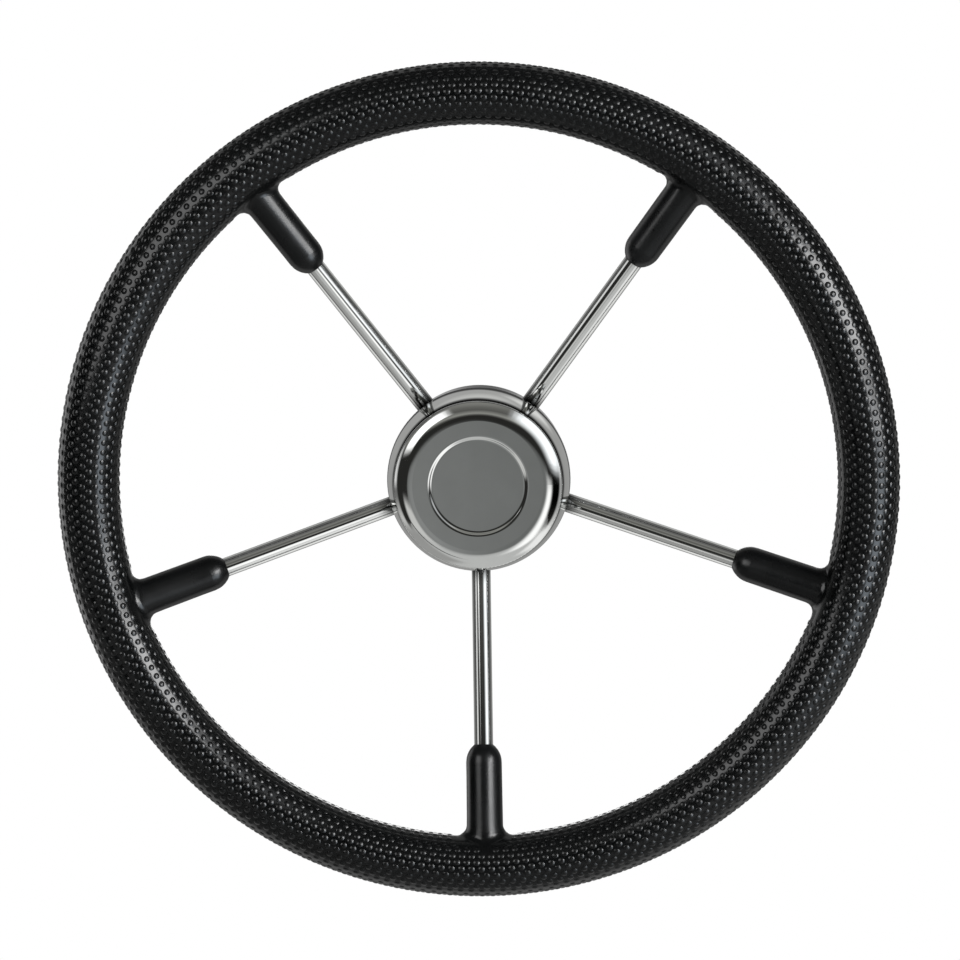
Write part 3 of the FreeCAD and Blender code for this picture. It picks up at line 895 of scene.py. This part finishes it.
# Degrees of elevation and radiance of the room: in front of the wheel, at its sides, and behind it
FRONT_STEPS = (
    (-90, 0.62), (-60, 0.60), (-44, 0.30), (-28, 0.025), (12, 0.025),
    (16, 0.10), (21, 0.34), (25, 0.26), (33, 0.12), (44, 0.17), (58, 0.28), (90, 0.32),
)
SIDE_STEPS = (
    (-90, 1.1), (-50, 1.0), (-28, 0.7), (-14, 0.22), (0, 0.12), (20, 0.12), (40, 0.15), (90, 0.16),
)
BEHIND_STEPS = ((-90, 0.30), (-30, 0.34), (0, 0.40), (36, 0.46), (58, 0.80), (90, 0.84))
# The dark end of the room behind the wheel
REAR_RADIANCE = 0.06
# Degrees from straight ahead between which the front gives way to the sides, and so on
SIDES_START = (56, 63)
BEHIND_START = (118, 132)
REAR_START = (156, 165)
# Slight tints of the room's walls
FRONT_TINT = (1.0, 1.0, 0.94)
WALL_TINT = (1.0, 1.0, 0.99)


def room_material():
    """Walls, table and ceiling of the studio, as the wheel mirrors them."""
    material = bpy.data.materials.new("studio_room")
    material.use_nodes = True
    tree = material.node_tree
    tree.nodes.clear()
    place = add_node(tree, "ShaderNodeTexCoord")
    unit = add_node(tree, "ShaderNodeVectorMath")
    unit.operation = "NORMALIZE"
    split = add_node(tree, "ShaderNodeSeparateXYZ")
    tree.links.new(place.outputs["Object"], unit.inputs[0])
    tree.links.new(unit.outputs["Vector"], split.inputs["Vector"])
    level = add_node(tree, "ShaderNodeMapRange")
    level.inputs["From Min"].default_value = -1.0
    level.inputs["From Max"].default_value = 1.0
    tree.links.new(split.outputs["Z"], level.inputs["Value"])
    height = level.outputs["Result"]
    front = height_ramp(tree, height, FRONT_STEPS, FRONT_TINT)
    side = height_ramp(tree, height, SIDE_STEPS, WALL_TINT)
    behind = height_ramp(tree, height, BEHIND_STEPS, WALL_TINT)
    rear = grey(tree, REAR_RADIANCE)
    walls = front
    for angles, wall in ((SIDES_START, side), (BEHIND_START, behind), (REAR_START, rear)):
        share = smooth_between(tree, split.outputs["Y"], *(polar_height(angle) for angle in angles))
        walls = blended(tree, share, walls, wall)
    glow = add_node(tree, "ShaderNodeEmission", Strength=1.0)
    output = add_node(tree, "ShaderNodeOutputMaterial")
    tree.links.new(walls, glow.inputs["Color"])
    tree.links.new(glow.outputs["Emission"], output.inputs["Surface"])
    return material


def add_room(radius):
    """The studio round the wheel, seen only in reflections: a globe with a small flat face behind."""
    steps = 64
    rings = 40
    widest = math.radians(178)
    vertices, faces = [from_axis(0.0, 0.0) * radius], []
    for ring in range(1, rings + 1):
        for step in range(steps):
            vertices.append(from_axis(widest * ring / rings, math.tau * step / steps) * radius)
    for step in range(steps):
        faces.append((0, 1 + step, 1 + (step + 1) % steps))
    for ring in range(rings - 1):
        inner, outer = 1 + ring * steps, 1 + (ring + 1) * steps
        for step in range(steps):
            after = (step + 1) % steps
            faces.append((inner + step, outer + step, outer + after, inner + after))
    faces.append(tuple(range(len(vertices) - steps, len(vertices))))
    mesh = bpy.data.meshes.new("studio_room")
    mesh.from_pydata(vertices, [], faces)
    mesh.update()
    room = add_stage_piece("studio_room", mesh, Matrix.Translation((0.0, RIM_PLANE, 0.0)))
    mesh.materials.append(room_material())
    show_only_mirrored(room)
    return room


def add_camera(stage):
    """Camera at the photograph's viewing angle."""
    roll = stage.camera_roll
    back = direction_of(math.degrees(stage.camera_azimuth), math.degrees(stage.camera_elevation))
    right = (-back).cross(Vector((0.0, 0.0, 1.0))).normalized()
    up = right.cross(-back)
    place = Vector((0.0, RIM_PLANE, 0.0)) + back * stage.camera_distance
    place += right * stage.camera_shift_right + up * stage.camera_shift_up
    side = right * math.cos(roll) + up * math.sin(roll)
    top = up * math.cos(roll) - right * math.sin(roll)
    data = bpy.data.cameras.new("photo_camera")
    data.sensor_width = 36.0
    data.lens = stage.lens
    camera = bpy.data.objects.new("photo_camera", data)
    bpy.context.scene.collection.objects.link(camera)
    turn = Matrix((side, top, back)).transposed()
    camera.matrix_world = Matrix.Translation(place) @ turn.to_4x4()
    bpy.context.scene.camera = camera
    return camera


# Operators


class WHEEL_OT_dress_grip(bpy.types.Operator):
    """Gives the moulded grip its rubber"""

    bl_idname = "wheel.dress_grip"
    bl_label = "Dress Grip"

    def execute(self, context):
        grip = context.scene.wheel_grip
        finish = (grip.rubber_roughness, grip.sleeve_roughness, grip.rubber_specular)
        dress("rim_grip", grip_rubber("grip_rubber", *finish, grip))
        return {"FINISHED"}


class WHEEL_OT_add_dots(bpy.types.Operator):
    """Adds the raised dots of the grip, a piece for each quarter of the rim"""

    bl_idname = "wheel.add_dots"
    bl_label = "Add Dots"

    def execute(self, context):
        grip = context.scene.wheel_grip
        finish = (grip.dot_roughness, grip.dot_roughness, grip.dot_specular)
        rubber = grip_rubber("dot_rubber", *finish, grip)
        turns, tilts = dot_places(grip)
        quarter = np.floor(turns / (math.pi / 2)).astype(int)
        for index, place in enumerate(QUADRANTS):
            chosen = quarter == index
            if not chosen.any():
                raise RuntimeError(f"no dot falls in the quarter {place}")
            name = f"grip_dots_{place}"
            piece = bpy.data.objects.new(name, dot_mesh(name, turns[chosen], tilts[chosen], grip))
            context.scene.collection.objects.link(piece)
            piece.data.materials.append(rubber)
            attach(piece, "root")
        return {"FINISHED"}


class WHEEL_OT_dress_spokes(bpy.types.Operator):
    """Gives the five bars their polish, with painted shade near their joints"""

    bl_idname = "wheel.dress_spokes"
    bl_label = "Dress Spokes"

    def execute(self, context):
        steel = context.scene.wheel_steel
        # The bars' polish carries painted shade near their joints
        polish = polished_steel("spoke_polish_and_shade", steel, steel.spoke_roughness, 0.0, steel.spoke_joint_reach)
        for name in SPOKES:
            dress(name, polish)
        return {"FINISHED"}


class WHEEL_OT_dress_hub(bpy.types.Operator):
    """Gives the hub's pressed pieces their polish, with painted shade in their joints, and the boss its
    turned finish
    """

    bl_idname = "wheel.dress_hub"
    bl_label = "Dress Hub"

    def execute(self, context):
        steel = context.scene.wheel_steel
        finish = (steel.polish_roughness, steel.wave, steel.hub_joint_reach)
        # The hub's polish carries painted shade in its joints, and the bezel a painted dark line of shade
        # across its lip
        dress("hub_cap", polished_steel("cap_polish_and_shade", steel, *finish))
        dress("hub_bezel", polished_steel("bezel_polish_and_shade", steel, *finish, lip=BEZEL_LIP_SHADE))
        dress("hub_cup", polished_steel("cup_polish_and_shade", steel, *finish))
        dress("hub_boss", turned_steel(steel))
        return {"FINISHED"}


class WHEEL_OT_dress_hidden(bpy.types.Operator):
    """Gives the rim's core and the cap's ring their finishes"""

    bl_idname = "wheel.dress_hidden"
    bl_label = "Dress Hidden Pieces"

    def execute(self, context):
        dress("rim_core", turned_steel(context.scene.wheel_steel))
        dress("cap_ring", seal_rubber())
        return {"FINISHED"}


class WHEEL_OT_set_stage(bpy.types.Operator):
    """Sets the floor, the surroundings, the lamps and the camera"""

    bl_idname = "wheel.set_stage"
    bl_label = "Set Stage"

    def execute(self, context):
        stage = context.scene.wheel_stage
        context.scene.view_settings.view_transform = "Standard"
        studio_world(stage)
        floor_place = Matrix.Translation((0.0, 0.0, stage.floor_height))
        floor_mesh = quad_mesh("floor", stage.floor_size, stage.floor_size)
        floor = add_stage_piece("floor", floor_mesh, floor_place)
        floor.data.materials.append(floor_material())
        add_room(stage.room_radius)
        groups = piece_groups()
        for name, card in CARDS.items():
            light_only(add_card(name, card), groups[card.lights])
        for name, arc in ARCS.items():
            light_only(add_arc(name, arc), groups[arc.lights])
        add_lamps(stage, groups["rubber"])
        add_camera(stage)
        return {"FINISHED"}


class WHEEL_PT_looks(bpy.types.Panel):
    """Lists the wheel's settings and operators"""

    bl_idname = "WHEEL_PT_looks"
    bl_label = "Steering Wheel"
    bl_space_type = "VIEW_3D"
    bl_region_type = "UI"
    bl_category = "Wheel"

    def draw(self, context):
        column = self.layout.column()
        for name in ("wheel_grip", "wheel_steel", "wheel_stage"):
            settings = getattr(context.scene, name)
            for field in settings.bl_rna.properties:
                if field.identifier in settings.__annotations__:
                    column.prop(settings, field.identifier)
        for operator in OPERATORS:
            column.operator(operator.bl_idname)


SETTINGS = {"wheel_grip": GripSettings, "wheel_steel": SteelSettings, "wheel_stage": StageSettings}
OPERATORS = (
    WHEEL_OT_dress_grip,
    WHEEL_OT_add_dots,
    WHEEL_OT_dress_spokes,
    WHEEL_OT_dress_hub,
    WHEEL_OT_dress_hidden,
    WHEEL_OT_set_stage,
)


def register():
    """Adds the classes and their settings to Blender."""
    for group in SETTINGS.values():
        bpy.utils.register_class(group)
    for operator in OPERATORS:
        bpy.utils.register_class(operator)
    bpy.utils.register_class(WHEEL_PT_looks)
    for name, group in SETTINGS.items():
        setattr(bpy.types.Scene, name, bpy.props.PointerProperty(type=group))


def unregister():
    """Takes the classes and their settings out of Blender."""
    for name in SETTINGS:
        delattr(bpy.types.Scene, name)
    bpy.utils.unregister_class(WHEEL_PT_looks)
    for operator in reversed(OPERATORS):
        bpy.utils.unregister_class(operator)
    for group in SETTINGS.values():
        bpy.utils.unregister_class(group)


def main():
    """Registers the add-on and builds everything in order."""
    register()
    bpy.ops.wheel.dress_grip()
    bpy.ops.wheel.add_dots()
    bpy.ops.wheel.dress_spokes()
    bpy.ops.wheel.dress_hub()
    bpy.ops.wheel.dress_hidden()
    bpy.ops.wheel.set_stage()


if __name__ == "__main__":
    main()
